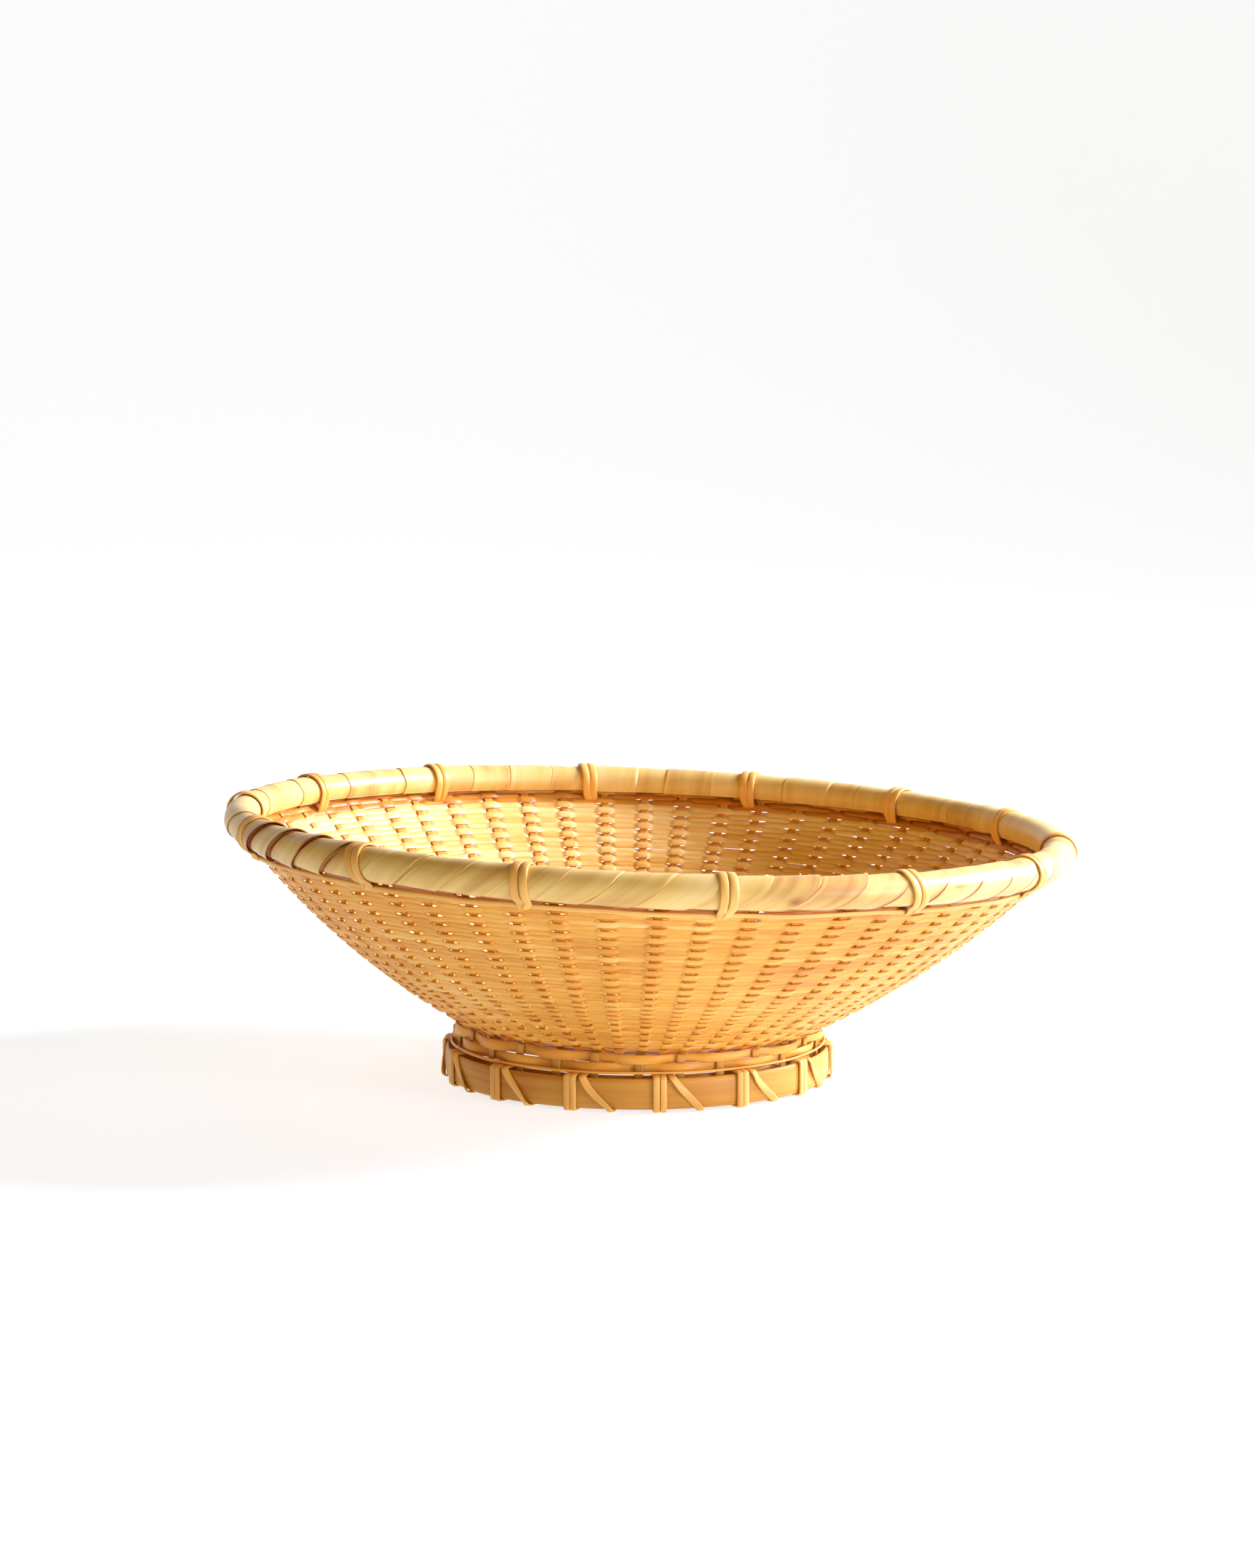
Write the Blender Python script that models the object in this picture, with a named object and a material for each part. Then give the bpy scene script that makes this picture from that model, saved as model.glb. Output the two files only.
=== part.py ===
"""Round bamboo basket: a woven bowl with a wrapped rim, standing on a low lashed ring foot.

Lengths are named in millimetres and turned into metres where a mesh is made. Every piece is laid
out upright round the foot's axis, and `lean` then tips the bowl over the level foot. All pieces
hang on one empty, which puts the middle of the basket's overall size over the origin.
"""

import math

import bmesh
import bpy
import numpy as np
from mathutils import Matrix, Vector

MM = 0.001
GAP = 0.3  # clearance between neighbouring pieces
SHARP_ANGLE = 40.0

# Angular layout, in degrees. The front of the basket is at 270.
STAKES = 56
STEP = 360.0 / STAKES
FIRST_STAKE = 269.857
BOWL_STAKE_SHIFT = 0.9  # the bowl's stakes stand this far past the foot's
TIES = 14
TIE_STEP = 360.0 / TIES
RIM_TIE_OFFSET = 1.5 * STEP  # a rim tie goes through the wall midway between two stakes
FOOT_TIE_OFFSET = STEP  # a foot tie sits midway between two foot stakes
RIM_TIE_SHIFTS = {2: 0.3, 12: 1.8}  # ties, counted from 0, that are off the even spacing
FOOT_TIE_SHIFTS = {1: -0.7, 2: -1.7}
FOOT_STAKES = 28
FOOT_STAKE_STEP = 360.0 / FOOT_STAKES

# Lean of the bowl: tilt and sideways shift by height
LEVEL_TOP = 11.5  # everything below this is level
WAIST_HEIGHT = 17.0
WAIST_TILT = 1.15
RIM_TILT = 2.5
RIM_SHIFT = 3.8

# Bowl wall: outer face as (radius, height) control points of a quadratic curve
WALL_FOOT = (55.0, 16.0)
WALL_BEND = (95.6, 37.4)
WALL_HEAD = (127.8, 73.0)
RIM_BEND = (129.9, 75.3)  # the wall turns upright inside the rim
RIM_END = (129.9, 80.5)
WEFT_SKIN = 0.15  # outer face of the woven shell below the wall's outermost strands
WEFT_THICK = 1.0
STAKE_DEPTH = 1.65  # a stake's outer face, below the wall's outermost strands
STAKE_THICK = 0.9
STAKE_WIDTH = 3.2
LOWER_ZONE_END = 0.27  # share of the wall curve woven coarsely, above the foot
MIDDLE_ZONE_END = 0.5
UPPER_ZONE_MIDDLE = 0.75
ZONE_GAP = 0.0026  # share of the wall curve left open on each side of a zone's end
SLOT_LOW = 0.9684  # the rim ties pass through slots between these shares of the curve
SLOT_HIGH = 0.9898
SLOT_HALF_ANGLE = 1.59
CUT_MERGE = 0.01  # a cut this close to an edge falls on that edge
RIM_MIDDLE = 1.5  # shares over 1 run up inside the rim
RIM_TOP = 2.0
HUB_RADIUS = 50.0
BASE_RADIUS = 53.9

# Rim: a tube of two hoops and the wall's end, wrapped in a strip
RIM_RADIUS = 129.25
RIM_HEIGHT = 78.6
RIM_HALF_WIDTH = 5.1
RIM_HALF_HEIGHT = 4.9
WRAP_THICK = 0.7
WRAP_FROM = -88.0  # the wrap's section is open below, where the wall comes in
WRAP_TO = 208.0
WRAP_POINTS = 11
OUTER_HOOP = ((130.3, 75.2), (132.2, 76.3), (133.2, 78.6), (132.2, 80.9), (130.3, 82.0))
INNER_HOOP = ((125.5, 77.9), (126.4, 78.3), (126.9, 79.6), (126.9, 81.7), (125.8, 80.4))
STRAND_CENTRE = (128.4, 72.0)
STRAND_RADIUS = 0.65
RIM_TIE_WIDTH = 6.0
RIM_TIE_THICK = 0.8
RIM_TIE_GROOVE = 0.4
RIM_TIE_REACH = (3.2, -0.7)  # inside and outside the wall, where a tie goes through it
RIM_TIE_TURNS = (-75.0, -20.0)  # where a tie passes round the strand below the rim

# Foot: a flared woven skirt between two flat hoops, lashed with rattan
FOOT_TIE_THICK = 0.6
FOOT_TIE_WIDTH = 3.9
FOOT_TIE_GROOVE = 0.25
LASH_GAP = 0.5  # flat lashing strips stand this far off the round hoops
HOOP_LOW = FOOT_TIE_THICK + GAP  # the ties pass under the hoops and stand on the ground
HOOP_HIGH = 10.5
OUTER_HOOP_RADII = (60.0, 61.5)
INNER_HOOP_RADII = (55.0, 56.4)
BEND_CHAMFER = 0.3
SKIRT_RADIUS = 57.9
SKIRT_FLARE = 0.6
FLARE_TOP = 11.0
FOOT_STAKE_THICK = 0.9
FOOT_STAKE_WIDTH = 2.9
FOOT_STAKE_LOW = 1.6
FOOT_STAKE_BAND = 4.0
FOOT_STAKE_HIGH = 17.1
FOOT_WEFT_THICK = 0.8
FOOT_WEFT_WAVE = 1.15
FOOT_WEFT_FLAT = 3.2  # a weft lies flat against a foot stake for this width
LOWER_WEFT_SPAN = (12.0, 14.2)
UPPER_WEFT_SPAN = (14.6, 16.5)
DIAGONAL_THICK = 0.5
DIAGONAL_WIDTH = 2.1
DIAGONAL_TOP = 3.8  # distance along the hoop from the tie beside it
DIAGONAL_BOTTOM = 12.8


def clear_scene():
    for old in list(bpy.data.objects):
        bpy.data.objects.remove(old, do_unlink=True)


def make_centre():
    centre = bpy.data.objects.new("foot_centre", None)
    centre.location = (-RIM_SHIFT * MM, 0.0, 0.0)
    bpy.context.scene.collection.objects.link(centre)
    return centre


# ---------------------------------------------------------------- materials


def material(name, colour, roughness):
    made = bpy.data.materials.new(name)
    made.use_nodes = True
    shader = made.node_tree.nodes["Principled BSDF"]
    shader.inputs["Base Color"].default_value = (*colour, 1.0)
    shader.inputs["Roughness"].default_value = roughness
    shader.inputs["Metallic"].default_value = 0.0
    return made


def make_materials():
    return {
        "weft_bamboo": material("weft_bamboo", (0.72, 0.46, 0.17), 0.5),
        "stake_bamboo": material("stake_bamboo", (0.42, 0.20, 0.06), 0.6),
        "rim_sheath": material("rim_sheath", (0.80, 0.62, 0.34), 0.42),
        "hoop_bamboo": material("hoop_bamboo", (0.66, 0.42, 0.16), 0.45),
        "rattan": material("rattan", (0.80, 0.56, 0.30), 0.45),
    }


# ---------------------------------------------------------------- placing


def polar(radius, angle, height):
    turned = math.radians(angle)
    return (radius * math.cos(turned), radius * math.sin(turned), height)


def beside(radius, angle, sideways, height):
    """A point set off sideways from a radius at an angle."""
    turned = math.radians(angle)
    x = radius * math.cos(turned) - sideways * math.sin(turned)
    y = radius * math.sin(turned) + sideways * math.cos(turned)
    return (x, y, height)


def flat_factor(angle):
    """How far a hoop's flat lies inside its circle at this angle. Hoops have one flat between each
    two stakes, and the pieces that follow them are drawn in to the same flats."""
    along = (angle - FIRST_STAKE) % STEP - STEP / 2
    return math.cos(math.radians(STEP / 2)) / math.cos(math.radians(along))


def lean(point):
    """Where a point of the upright layout really lies."""
    x, y, height = point
    flat = flat_factor(math.degrees(math.atan2(y, x)))
    heights = (LEVEL_TOP, WAIST_HEIGHT, RIM_HEIGHT)
    tilt = float(np.interp(height, heights, (0.0, WAIST_TILT, RIM_TILT)))
    shift = float(np.interp(height, (LEVEL_TOP, RIM_HEIGHT), (0.0, RIM_SHIFT)))
    drop = x * flat * math.tan(math.radians(tilt))
    return Vector((x * flat + shift, y * flat, height - drop))


def finish_mesh(shape, name):
    """Leans the shape, turns its lengths into metres and makes it a mesh."""
    for vertex in shape.verts:
        vertex.co = lean(vertex.co) * MM
    shape.normal_update()
    mesh = bpy.data.meshes.new(name)
    shape.to_mesh(mesh)
    shape.free()
    mesh.shade_smooth()
    mesh.set_sharp_from_angle(angle=math.radians(SHARP_ANGLE))
    return mesh


def add_piece(name, mesh, look, centre, turn=0.0):
    if not mesh.materials:
        mesh.materials.append(look)
    piece = bpy.data.objects.new(name, mesh)
    piece.parent = centre
    piece.rotation_euler = (0.0, 0.0, math.radians(turn))
    bpy.context.scene.collection.objects.link(piece)
    return piece


def thicken(piece, thickness, offset):
    """Gives a surface its thickness: behind its face with offset -1, on both sides with 0."""
    solidify = piece.modifiers.new("thickness", "SOLIDIFY")
    solidify.thickness = thickness * MM
    solidify.offset = offset
    solidify.use_even_offset = True


# ---------------------------------------------------------------- shapes


def spun(profile, closed):
    """A (radius, height) line turned once round the upright axis, in one flat per stake."""
    shape = bmesh.new()
    line = [shape.verts.new(polar(radius, FIRST_STAKE, height)) for radius, height in profile]
    edges = [shape.edges.new(pair) for pair in zip(line, line[1:])]
    if closed:
        edges.append(shape.edges.new((line[-1], line[0])))
    bmesh.ops.spin(
        shape,
        geom=line + edges,
        cent=(0.0, 0.0, 0.0),
        axis=(0.0, 0.0, 1.0),
        angle=2 * math.pi,
        steps=STAKES,
        use_merge=True,
    )
    bmesh.ops.recalc_face_normals(shape, faces=shape.faces)
    return shape


def box_profile(radii, heights):
    inner, outer = radii
    low, high = heights
    return [(inner, low), (outer, low), (outer, high), (inner, high)]


def round_profile(centre, radius, count=6):
    turns = [2 * math.pi * index / count for index in range(count)]
    return [(centre[0] + radius * math.cos(a), centre[1] + radius * math.sin(a)) for a in turns]


def rim_arc(margin, angles):
    """Points of the rim tube's section, this far outside the wrap."""
    across = RIM_HALF_WIDTH + margin
    up = RIM_HALF_HEIGHT + margin
    arc = []
    for angle in np.radians(angles):
        arc.append((RIM_RADIUS + across * math.cos(angle), RIM_HEIGHT + up * math.sin(angle)))
    return arc


def offset_loop(loop, distance):
    """The anticlockwise closed line moved outwards, with mitred corners."""
    points = np.array(loop, dtype=float)
    along = np.roll(points, -1, axis=0) - points
    along /= np.linalg.norm(along, axis=1)[:, None]
    normals = np.column_stack([along[:, 1], -along[:, 0]])
    mitre = normals + np.roll(normals, 1, axis=0)
    mitre /= (mitre * normals).sum(axis=1)[:, None]
    return points + distance * mitre


def band(loop, angles, thickness, stations):
    """A strip bent round a closed (radius, height) line. Each station across its outer face is a
    (sideways, depth) pair, so that a groove can run between two strands."""
    outer = offset_loop(loop, thickness)
    edges = [(stations[-1][0], thickness), (stations[0][0], thickness)]
    shape = bmesh.new()
    rows = []
    for low, high, angle in zip(np.array(loop), outer, angles):
        row = []
        for sideways, depth in edges + list(stations):
            radius, height = high + (low - high) * depth / thickness
            row.append(shape.verts.new(beside(radius, angle, sideways, height)))
        rows.append(row)
    for here, there in zip(rows, rows[1:] + rows[:1]):
        for side in range(len(here)):
            shape.faces.new((here[side - 1], here[side], there[side], there[side - 1]))
    bmesh.ops.recalc_face_normals(shape, faces=shape.faces)
    return shape


# ---------------------------------------------------------------- bowl


def curve(start, bend, end, share):
    """Point and outward normal of a quadratic curve in the radius and height plane."""
    start, bend, end = np.array(start), np.array(bend), np.array(end)
    point = (1 - share) ** 2 * start + 2 * share * (1 - share) * bend + share**2 * end
    along = (1 - share) * (bend - start) + share * (end - bend)
    along /= np.linalg.norm(along)
    return point, np.array([along[1], -along[0]])


def wall(share, depth):
    """(radius, height) this deep below the wall's outer face. Shares over 1 are inside the rim."""
    if share <= 1.0:
        point, normal = curve(WALL_FOOT, WALL_BEND, WALL_HEAD, share)
    else:
        point, normal = curve(WALL_HEAD, RIM_BEND, RIM_END, share - 1.0)
    return tuple(point - depth * normal)


def facing_out(shape):
    """Turns an open wall's faces outwards."""
    shape.normal_update()
    inward = [face for face in shape.faces if face.normal.dot(face.calc_center_median()) < 0]
    if len(inward) * 2 > len(shape.faces):
        bmesh.ops.reverse_faces(shape, faces=shape.faces)


def rim_tie_angle(index):
    return FIRST_STAKE + RIM_TIE_OFFSET + TIE_STEP * index + RIM_TIE_SHIFTS.get(index, 0.0)


def foot_tie_turn(index):
    return FOOT_TIE_OFFSET + TIE_STEP * index + FOOT_TIE_SHIFTS.get(index, 0.0)


def cut_slots(shape):
    """Opens the slots that the rim ties pass through."""
    low = wall(SLOT_LOW, WEFT_SKIN)[1]
    high = wall(SLOT_HIGH, WEFT_SKIN)[1]
    middles = [rim_tie_angle(index) for index in range(TIES)]
    for middle in middles:
        for edge in (-SLOT_HALF_ANGLE, SLOT_HALF_ANGLE):
            across = Vector(polar(1.0, middle + edge + 90.0, 0.0))
            geometry = shape.verts[:] + shape.edges[:] + shape.faces[:]
            bmesh.ops.bisect_plane(
                shape, geom=geometry, dist=CUT_MERGE, plane_co=(0, 0, 0), plane_no=across
            )
    slots = []
    for face in shape.faces:
        centre = face.calc_center_median()
        angle = math.degrees(math.atan2(centre.y, centre.x))
        nearest = min(abs((angle - middle + 180.0) % 360.0 - 180.0) for middle in middles)
        if low < centre.z < high and nearest < SLOT_HALF_ANGLE:
            slots.append(face)
    bmesh.ops.delete(shape, geom=slots, context="FACES")


def make_wefts(looks, centre):
    zones = {
        "weft_lower": (0.0, LOWER_ZONE_END - ZONE_GAP),
        "weft_middle": (LOWER_ZONE_END + ZONE_GAP, MIDDLE_ZONE_END - ZONE_GAP),
        "weft_upper": (
            MIDDLE_ZONE_END + ZONE_GAP,
            UPPER_ZONE_MIDDLE,
            SLOT_LOW,
            SLOT_HIGH,
            RIM_MIDDLE,
            RIM_TOP,
        ),
    }
    for name, shares in zones.items():
        shape = spun([wall(share, WEFT_SKIN) for share in shares], closed=False)
        facing_out(shape)
        if SLOT_LOW in shares:
            cut_slots(shape)
        piece = add_piece(name, finish_mesh(shape, name), looks["weft_bamboo"], centre)
        thicken(piece, WEFT_THICK, -1.0)


def make_stakes(looks, centre):
    """The stakes cross in a flat hub over the base and run up inside the woven wall."""
    line = [(HUB_RADIUS, WALL_FOOT[1] + STAKE_DEPTH)]
    shares = (0.0, LOWER_ZONE_END, MIDDLE_ZONE_END, UPPER_ZONE_MIDDLE, SLOT_HIGH)
    for share in shares + (RIM_MIDDLE, RIM_TOP):
        line.append(wall(share, STAKE_DEPTH))
    shape = bmesh.new()
    hub = []
    for index in range(STAKES):
        angle = FIRST_STAKE + BOWL_STAKE_SHIFT + STEP * index
        pairs = []
        for radius, height in line:
            sides = (-STAKE_WIDTH / 2, STAKE_WIDTH / 2)
            pairs.append([shape.verts.new(beside(radius, angle, s, height)) for s in sides])
        for (left, right), (far_left, far_right) in zip(pairs, pairs[1:]):
            shape.faces.new((left, right, far_right, far_left))
        hub += pairs[0]
    shape.faces.new(reversed(hub))
    piece = add_piece("bowl_stakes", finish_mesh(shape, "bowl_stakes"), looks["stake_bamboo"], centre)
    thicken(piece, STAKE_THICK, -1.0)


def make_base(looks, centre):
    shape = bmesh.new()
    turn = Matrix.Rotation(math.radians(FIRST_STAKE), 4, "Z")
    lift = Matrix.Translation((0.0, 0.0, WALL_FOOT[1]))
    bmesh.ops.create_circle(
        shape, cap_ends=True, radius=BASE_RADIUS, segments=STAKES, matrix=lift @ turn
    )
    piece = add_piece("base_mat", finish_mesh(shape, "base_mat"), looks["weft_bamboo"], centre)
    thicken(piece, WEFT_THICK, 1.0)


# ---------------------------------------------------------------- rim


def make_rim(looks, centre):
    angles = np.linspace(WRAP_FROM, WRAP_TO, WRAP_POINTS)
    wrap = rim_arc(0.0, angles) + rim_arc(-WRAP_THICK, angles)[::-1]
    strand = round_profile(STRAND_CENTRE, STRAND_RADIUS)
    pieces = (
        ("rim_wrap", wrap, "rim_sheath"),
        ("rim_outer_hoop", OUTER_HOOP, "hoop_bamboo"),
        ("rim_inner_hoop", INNER_HOOP, "hoop_bamboo"),
        ("under_rim_strand", strand, "rattan"),
    )
    for name, profile, look in pieces:
        add_piece(name, finish_mesh(spun(profile, closed=True), name), looks[look], centre)


def rim_tie_loop():
    """Over the rim, under the strand below it and back through the wall."""
    angles = np.linspace(WRAP_FROM, WRAP_TO, WRAP_POINTS)[1:]
    loop = rim_arc(GAP, angles)
    crossing = (SLOT_LOW + SLOT_HIGH) / 2
    inside_face, normal = curve(WALL_FOOT, WALL_BEND, WALL_HEAD, crossing)
    upper = inside_face + RIM_TIE_THICK / 2 * np.array([-normal[1], normal[0]])
    loop += [tuple(upper - reach * normal) for reach in RIM_TIE_REACH]
    loop += rim_strand_side(RIM_TIE_TURNS)
    return loop


def rim_strand_side(turns):
    """Points just outside the strand below the rim, at these angles of its section."""
    around = STRAND_RADIUS + GAP
    side = []
    for turn in np.radians(turns):
        radius = STRAND_CENTRE[0] + around * math.cos(turn)
        side.append((radius, STRAND_CENTRE[1] + around * math.sin(turn)))
    return side


def make_rim_ties(looks, centre):
    loop = rim_tie_loop()
    half = RIM_TIE_WIDTH / 2
    stations = ((-half, 0.0), (0.0, RIM_TIE_GROOVE), (half, 0.0))
    for index in range(TIES):
        name = f"rim_tie_{index + 1:02d}"
        angles = [rim_tie_angle(index)] * len(loop)
        shape = band(loop, angles, RIM_TIE_THICK, stations)
        add_piece(name, finish_mesh(shape, name), looks["rattan"], centre)


# ---------------------------------------------------------------- foot


def make_foot_hoops(looks, centre):
    hoops = {"foot_outer_hoop": OUTER_HOOP_RADII, "foot_inner_hoop": INNER_HOOP_RADII}
    for name, radii in hoops.items():
        shape = spun(box_profile(radii, (HOOP_LOW, HOOP_HIGH)), closed=True)
        add_piece(name, finish_mesh(shape, name), looks["hoop_bamboo"], centre)


def skirt_radius(height):
    return SKIRT_RADIUS + SKIRT_FLARE * max(0.0, 1.0 - height / FLARE_TOP)


def make_foot_stakes(looks, centre):
    """Flat stakes standing on a band that is held between the two hoops."""
    heights = (FOOT_STAKE_LOW, FOOT_STAKE_BAND, FLARE_TOP, FOOT_STAKE_HIGH)
    shape = bmesh.new()
    columns = []
    for index in range(FOOT_STAKES):
        angle = FIRST_STAKE + FOOT_STAKE_STEP * index
        for side in (-FOOT_STAKE_WIDTH / 2, FOOT_STAKE_WIDTH / 2):
            points = [beside(skirt_radius(height), angle, side, height) for height in heights]
            columns.append([shape.verts.new(point) for point in points])
    for index, left in enumerate(columns):
        right = columns[(index + 1) % len(columns)]
        is_stake = index % 2 == 0
        top = len(heights) - 1 if is_stake else 1
        for row in range(top):
            shape.faces.new((left[row], right[row], right[row + 1], left[row + 1]))
    piece = add_piece("foot_stakes", finish_mesh(shape, "foot_stakes"), looks["stake_bamboo"], centre)
    thicken(piece, FOOT_STAKE_THICK, 0.0)


def make_foot_weft(name, heights, first_side, look, centre):
    """A wide strand woven over one foot stake and under the next. first_side is 1 where it passes
    outside the first stake, and -1 where it passes inside."""
    shape = bmesh.new()
    columns = []
    for index in range(FOOT_STAKES):
        angle = FIRST_STAKE + FOOT_STAKE_STEP * index
        wave = first_side if index % 2 == 0 else -first_side
        radius = SKIRT_RADIUS + wave * FOOT_WEFT_WAVE
        for side in (-FOOT_WEFT_FLAT / 2, FOOT_WEFT_FLAT / 2):
            points = [beside(radius, angle, side, height) for height in heights]
            columns.append([shape.verts.new(point) for point in points])
    for left, right in zip(columns, columns[1:] + columns[:1]):
        shape.faces.new((left[0], right[0], right[1], left[1]))
    piece = add_piece(name, finish_mesh(shape, name), look, centre)
    thicken(piece, FOOT_WEFT_THICK, 0.0)


def hoop_loop():
    """A chamfered line round both foot hoops, where a strip lies on them."""
    inner = INNER_HOOP_RADII[0] - LASH_GAP
    outer = OUTER_HOOP_RADII[1] + LASH_GAP
    low = HOOP_LOW - GAP
    high = HOOP_HIGH + GAP
    return [
        (inner + BEND_CHAMFER, low),
        (outer - BEND_CHAMFER, low),
        (outer, low + BEND_CHAMFER),
        (outer, high - BEND_CHAMFER),
        (outer - BEND_CHAMFER, high),
        (inner + BEND_CHAMFER, high),
        (inner, high - BEND_CHAMFER),
        (inner, low + BEND_CHAMFER),
    ]


def make_foot_ties(looks, centre):
    """All the foot's ties share one mesh, made at the first stake's angle."""
    loop = hoop_loop()
    half = FOOT_TIE_WIDTH / 2
    groove = FOOT_TIE_GROOVE
    stations = ((-half, 0.0), (-groove, 0.0), (0.0, groove), (groove, 0.0), (half, 0.0))
    shape = band(loop, [FIRST_STAKE] * len(loop), FOOT_TIE_THICK, stations)
    mesh = finish_mesh(shape, "foot_tie")
    for index in range(TIES):
        name = f"foot_tie_{index + 1:02d}"
        add_piece(name, mesh, looks["rattan"], centre, foot_tie_turn(index))


def make_foot_diagonals(looks, centre):
    """The lashing's travel from one tie to the next, slanting down across the hoop."""
    loop = hoop_loop()
    heights = (HOOP_LOW - GAP, HOOP_HIGH + GAP)
    angles = []
    for _, height in loop:
        along = np.interp(height, heights, (DIAGONAL_BOTTOM, DIAGONAL_TOP))
        angles.append(FIRST_STAKE + math.degrees(along / OUTER_HOOP_RADII[1]))
    half = DIAGONAL_WIDTH / 2
    shape = band(loop, angles, DIAGONAL_THICK, ((-half, 0.0), (half, 0.0)))
    mesh = finish_mesh(shape, "foot_diagonal")
    for index in range(TIES):
        name = f"foot_diagonal_{index + 1:02d}"
        add_piece(name, mesh, looks["rattan"], centre, foot_tie_turn(index))


def build():
    clear_scene()
    looks = make_materials()
    centre = make_centre()
    make_base(looks, centre)
    make_stakes(looks, centre)
    make_wefts(looks, centre)
    make_rim(looks, centre)
    make_rim_ties(looks, centre)
    make_foot_hoops(looks, centre)
    make_foot_stakes(looks, centre)
    make_foot_weft("foot_weft_lower", LOWER_WEFT_SPAN, -1, looks["weft_bamboo"], centre)
    make_foot_weft("foot_weft_upper", UPPER_WEFT_SPAN, 1, looks["weft_bamboo"], centre)
    make_foot_ties(looks, centre)
    make_foot_diagonals(looks, centre)


build()
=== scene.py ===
"""The looks of the footed bamboo basket: woven wall, wrapped rim and lashed foot round the frame.

Shapes are laid out upright, in mm round the foot's axis, with angles in degrees from +X. lean() turns
that layout into the leaning basket, in metres. The front is at 270 degrees.
"""

import math
import random

import bpy
import numpy as np
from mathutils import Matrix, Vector


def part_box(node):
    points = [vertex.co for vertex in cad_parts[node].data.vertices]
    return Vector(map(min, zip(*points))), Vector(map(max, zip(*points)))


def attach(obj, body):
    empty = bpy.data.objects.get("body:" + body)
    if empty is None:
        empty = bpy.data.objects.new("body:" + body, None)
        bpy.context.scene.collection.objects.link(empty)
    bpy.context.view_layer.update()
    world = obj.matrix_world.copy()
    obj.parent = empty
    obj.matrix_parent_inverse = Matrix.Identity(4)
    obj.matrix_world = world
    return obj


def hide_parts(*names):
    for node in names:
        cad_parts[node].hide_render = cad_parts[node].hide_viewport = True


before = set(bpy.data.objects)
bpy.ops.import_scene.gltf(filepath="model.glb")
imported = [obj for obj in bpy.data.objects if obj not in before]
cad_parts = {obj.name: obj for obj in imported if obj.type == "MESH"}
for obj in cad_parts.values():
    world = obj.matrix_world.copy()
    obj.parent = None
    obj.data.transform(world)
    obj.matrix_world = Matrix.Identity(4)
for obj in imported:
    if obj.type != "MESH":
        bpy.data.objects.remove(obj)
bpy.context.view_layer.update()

MM = 0.001
STAKES = 56
STEP = 360.0 / STAKES
FIRST_STAKE = 269.857
STAKE_SHIFT = 0.9  # the bowl's stakes stand this far off the even grid
STAKE_JITTER = 0.4
FOOT_STAKES = 28
FOOT_STEP = 360.0 / FOOT_STAKES
TIES = 14

# The lean grows from nothing at the foot's lashing to its full size at the rim
LEAN_HEIGHTS, LEAN_ANGLES = (11.5, 17.0, 78.6), (0.0, 1.15, 2.5)
LEAN_SHIFT = 3.8  # the foot's axis is this far from the rim's, which is at x = 0

# The outer face of the wall as (radius, height) control points, from the foot to inside the rim
WALL = ((55.0, 16.0), (95.6, 37.4), (127.8, 73.0))
RIM_RUN = ((127.8, 73.0), (129.9, 75.3), (129.9, 80.5))
RIM_RADIUS, RIM_HEIGHT = 129.25, 78.6
RIM_ACROSS, RIM_UP = 5.1, 4.9
STRAND_RADIUS, STRAND_HEIGHT = 128.3, 71.8
MIDDLE_DEPTH = 0.95  # of the weave's middle below the wall's outer face
WAVE = 0.53  # how far a row stands off that middle as it passes a stake
INNER_TONE = 0.31  # the pith side of a split strip is paler than its skin
WEFT_THICK = 0.5
STAKE_THICK = 0.42

FOOT_LOW, FOOT_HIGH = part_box("foot_outer_hoop")
FOOT_CENTRE_X = (FOOT_LOW[0] + FOOT_HIGH[0]) / 2
FOOT_RADIUS = 57.9  # the middle of the foot's weave
LASHING_RADIUS = 61.5
HOOP_LOW, HOOP_HIGH = 0.9, 10.5

ROOT = "root"
rng = random.Random(56)
np_rng = np.random.default_rng(56)


# ---------------------------------------------------------------- placing


def lean(points):
    """Upright layout in mm round the foot's axis, as (n, 3), to world metres."""
    x, y, h = points[..., 0], points[..., 1], points[..., 2]
    tilt = np.radians(np.interp(h, LEAN_HEIGHTS, LEAN_ANGLES))
    shift = np.interp(h, (LEAN_HEIGHTS[0], LEAN_HEIGHTS[-1]), (0.0, LEAN_SHIFT))
    return np.stack([x + shift - LEAN_SHIFT, y, h - x * np.tan(tilt)], axis=-1) * MM


def polar(radius, degrees, height):
    turned = np.radians(degrees)
    radius, turned, height = np.broadcast_arrays(radius, turned, height)
    return np.stack([radius * np.cos(turned), radius * np.sin(turned), height], axis=-1).astype(float)


def ring(radius, degrees, height):
    """A line round the axis, and for each point the direction away from the axis."""
    count = len(degrees)
    return polar(radius, degrees, height), polar(np.ones(count), degrees, np.zeros(count))


def round_angles(count):
    return np.linspace(0, 360, count, endpoint=False)


def bezier(control, share):
    a, b, c = (np.array(p) for p in control)
    t = np.asarray(share, dtype=float)[..., None]
    point = (1 - t) ** 2 * a + 2 * t * (1 - t) * b + t**2 * c
    along = 2 * (1 - t) * (b - a) + 2 * t * (c - b)
    return point, along


def measured_wall():
    """A table of the wall line by its length: points and outward normals."""
    points, normals = [], []
    for control in (WALL, RIM_RUN):
        point, along = bezier(control, np.linspace(0.0, 1.0, 200))
        along /= np.linalg.norm(along, axis=1)[:, None]
        start = 0 if not points else 1
        points.append(point[start:])
        normals.append(np.stack([along[:, 1], -along[:, 0]], axis=-1)[start:])
    points, normals = np.concatenate(points), np.concatenate(normals)
    lengths = np.concatenate([[0.0], np.cumsum(np.linalg.norm(np.diff(points, axis=0), axis=1))])
    return lengths, points, normals


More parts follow.
